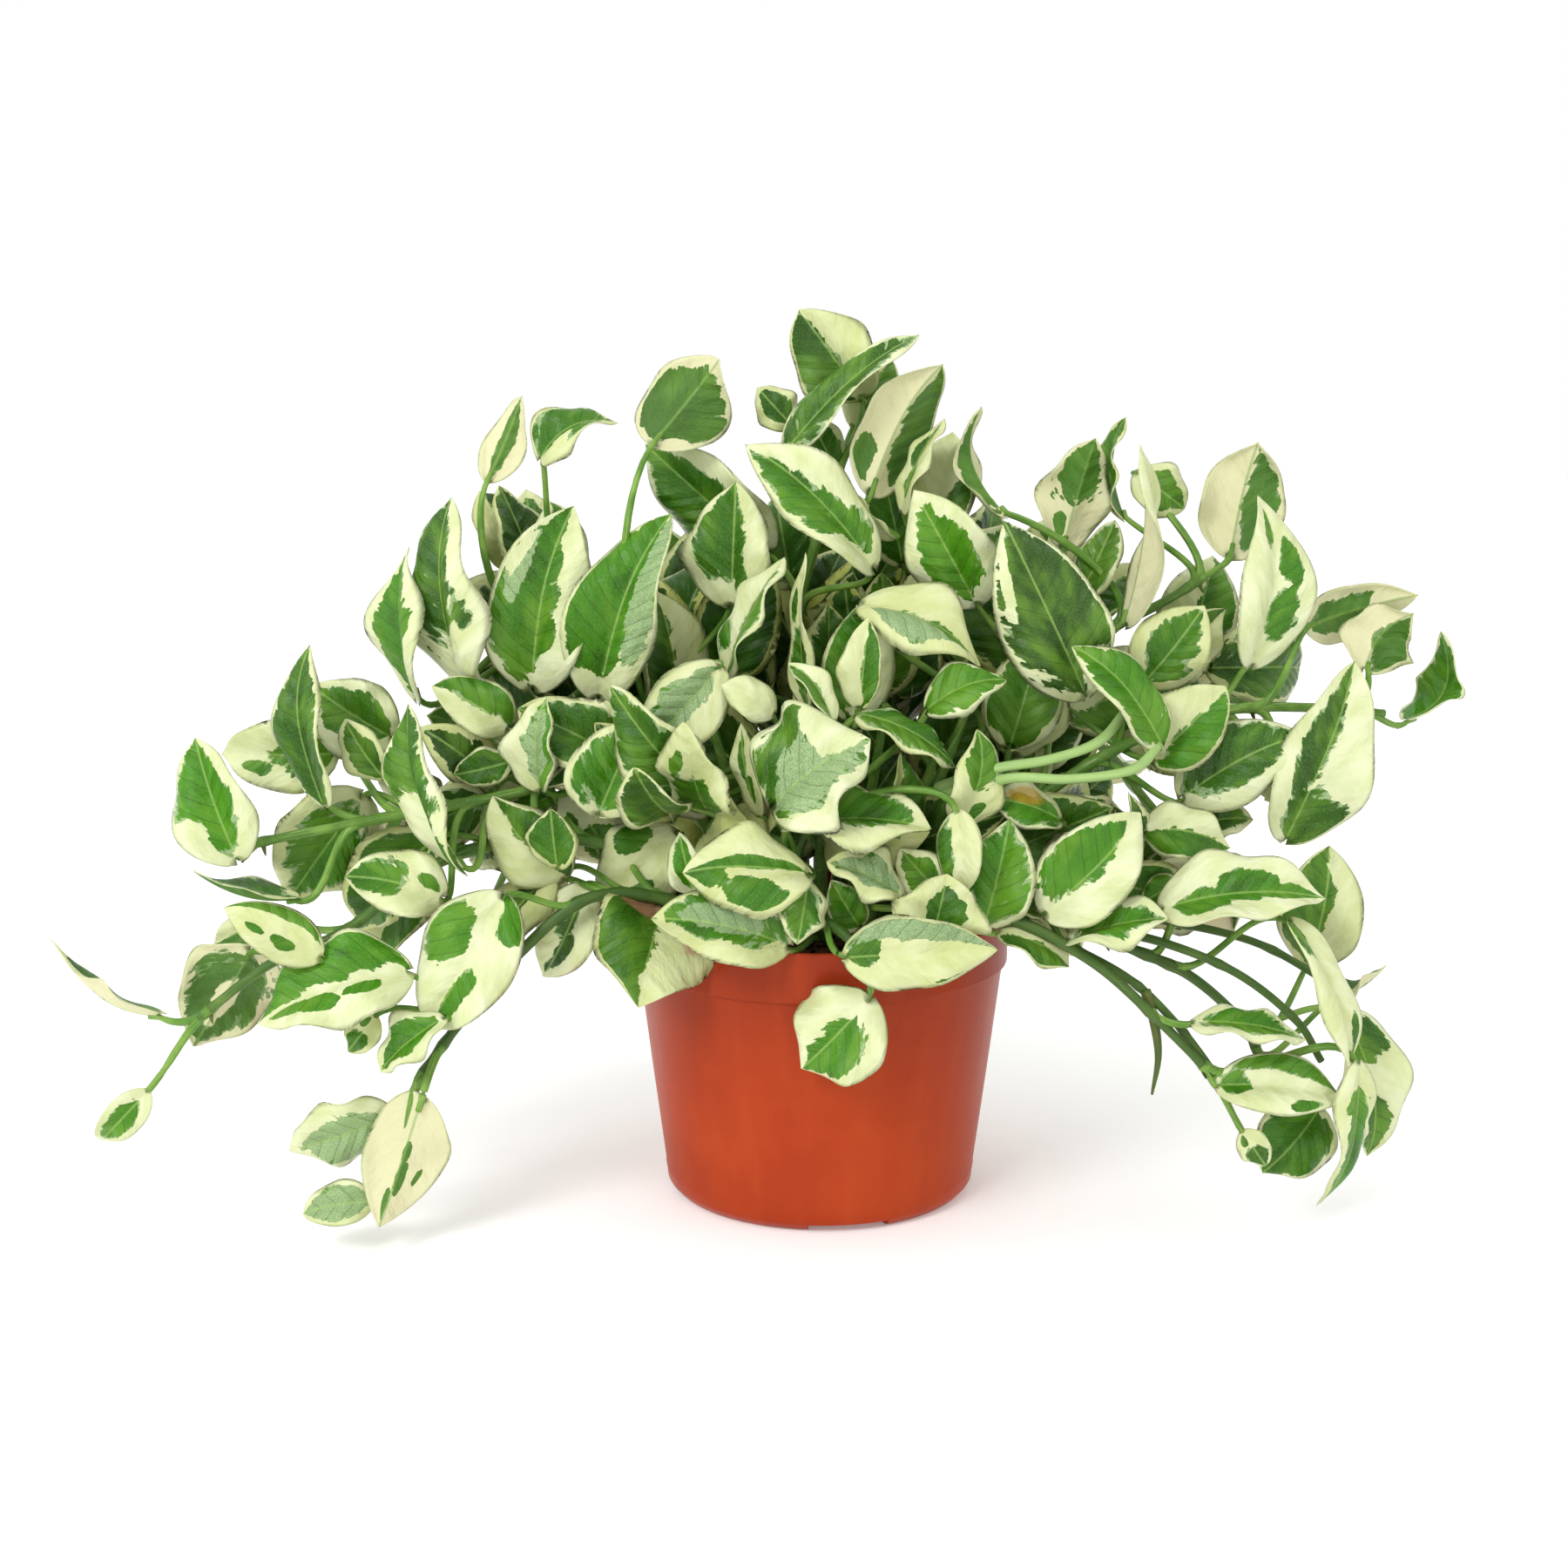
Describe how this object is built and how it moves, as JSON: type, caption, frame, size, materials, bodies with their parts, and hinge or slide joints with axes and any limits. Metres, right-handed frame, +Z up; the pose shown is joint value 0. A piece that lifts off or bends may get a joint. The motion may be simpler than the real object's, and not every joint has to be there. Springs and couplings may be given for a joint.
{
  "type": "potted pothos plant",
  "caption": "Trailing pothos with small cream and green variegated leaves, growing out of all sides of a round terracotta-coloured nursery pot.",
  "frame": {"origin": "centre of the pot's base, on the plane it stands on", "axes": "+Z up along the pot's axis; +X to the right and -Y towards the viewer in front of the plant; the longest spread of the stems lies along X"},
  "size_m": [0.5622, 0.3417, 0.3526],
  "materials": {
    "pot_plastic": "thin moulded plastic, terracotta orange, satin with soft streaks",
    "potting_soil": "dry crumbly peat mix, dark brown, no gloss",
    "stem_green": "ridged green stem, satin",
    "leaf_green": "glossy leaf, green and grey-green islands on cream, duller under side"
  },
  "bodies": {
    "root": {"leaf_01": "leaf_green", "leaf_02": "leaf_green", "leaf_03": "leaf_green", "leaf_04": "leaf_green", "leaf_05": "leaf_green", "leaf_06": "leaf_green", "leaf_07": "leaf_green", "leaf_08": "leaf_green", "leaf_09": "leaf_green", "leaf_10": "leaf_green", "leaf_11": "leaf_green", "leaf_12": "leaf_green", "leaf_13": "leaf_green", "leaf_14": "leaf_green", "leaf_15": "leaf_green", "leaf_16": "leaf_green", "leaf_17": "leaf_green", "leaf_18": "leaf_green", "leaf_19": "leaf_green", "leaf_20": "leaf_green", "leaf_21": "leaf_green", "leaf_22": "leaf_green", "leaf_23": "leaf_green", "leaf_24": "leaf_green", "leaf_25": "leaf_green", "leaf_26": "leaf_green", "leaf_27": "leaf_green", "leaf_28": "leaf_green", "leaf_29": "leaf_green", "leaf_30": "leaf_green", "leaf_31": "leaf_green", "leaf_32": "leaf_green", "leaf_33": "leaf_green", "leaf_34": "leaf_green", "leaf_35": "leaf_green", "leaf_36": "leaf_green", "leaf_37": "leaf_green", "leaf_38": "leaf_green", "leaf_39": "leaf_green", "leaf_40": "leaf_green", "leaf_41": "leaf_green", "leaf_42": "leaf_green", "leaf_43": "leaf_green", "leaf_44": "leaf_green", "pot": "pot_plastic", "soil": "potting_soil", "stem_back_left": "stem_green", "stem_back_mid": "stem_green", "stem_back_right": "stem_green", "stem_front": "stem_green", "stem_front_rim": "stem_green", "stem_left_far": "stem_green", "stem_left_low": "stem_green", "stem_left_mid": "stem_green", "stem_left_top": "stem_green", "stem_right_front": "stem_green", "stem_right_low": "stem_green", "stem_right_mid": "stem_green", "stem_right_top": "stem_green", "stem_top": "stem_green"}
  },
  "joints": []
}
